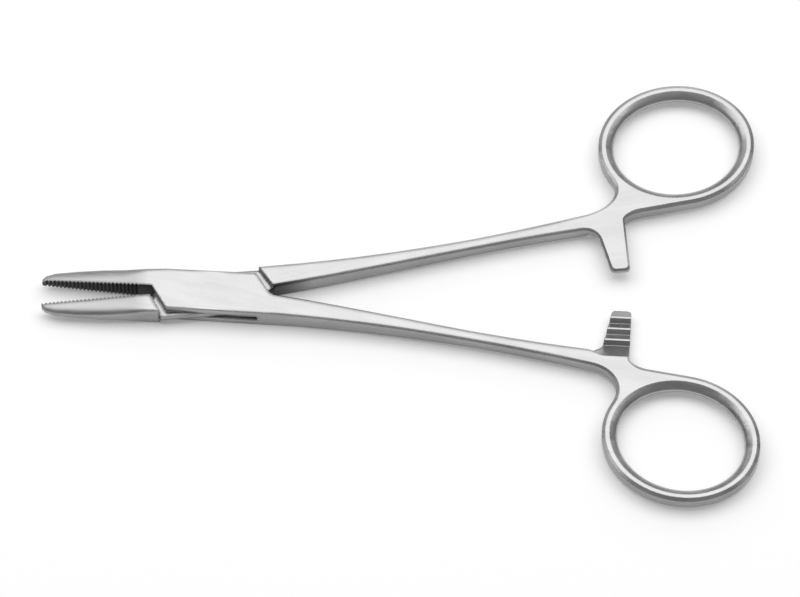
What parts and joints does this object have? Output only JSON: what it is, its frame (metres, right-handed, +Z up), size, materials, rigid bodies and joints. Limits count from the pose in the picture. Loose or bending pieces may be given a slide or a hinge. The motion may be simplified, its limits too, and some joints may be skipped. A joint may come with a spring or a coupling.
{
  "type": "surgical needle holder",
  "caption": "Steel ring-handled needle holder with a box lock, short serrated jaws, a ratchet and two oval finger rings.",
  "frame": {"origin": "on the hinge axis, in the plane of the table that the instrument lies on", "axes": "+X from the hinge to the finger rings, +Y to the ring of the tongue half, +Z up along the hinge axis"},
  "size_m": [0.1579, 0.1078, 0.0049],
  "materials": {
    "instrument_steel": "satin",
    "pin_steel": "satin, ground flush"
  },
  "bodies": {
    "box_arm": {"box_half": "instrument_steel", "hinge_pin": "pin_steel"},
    "tongue_arm": {"tongue_half": "instrument_steel"}
  },
  "joints": [
    {"name": "box_lock", "type": "hinge", "parent": "box_arm", "child": "tongue_arm", "pos_m": [0, 0, 0], "axis": [0, 0, 1], "range_deg": [-8.6, 110]}
  ]
}
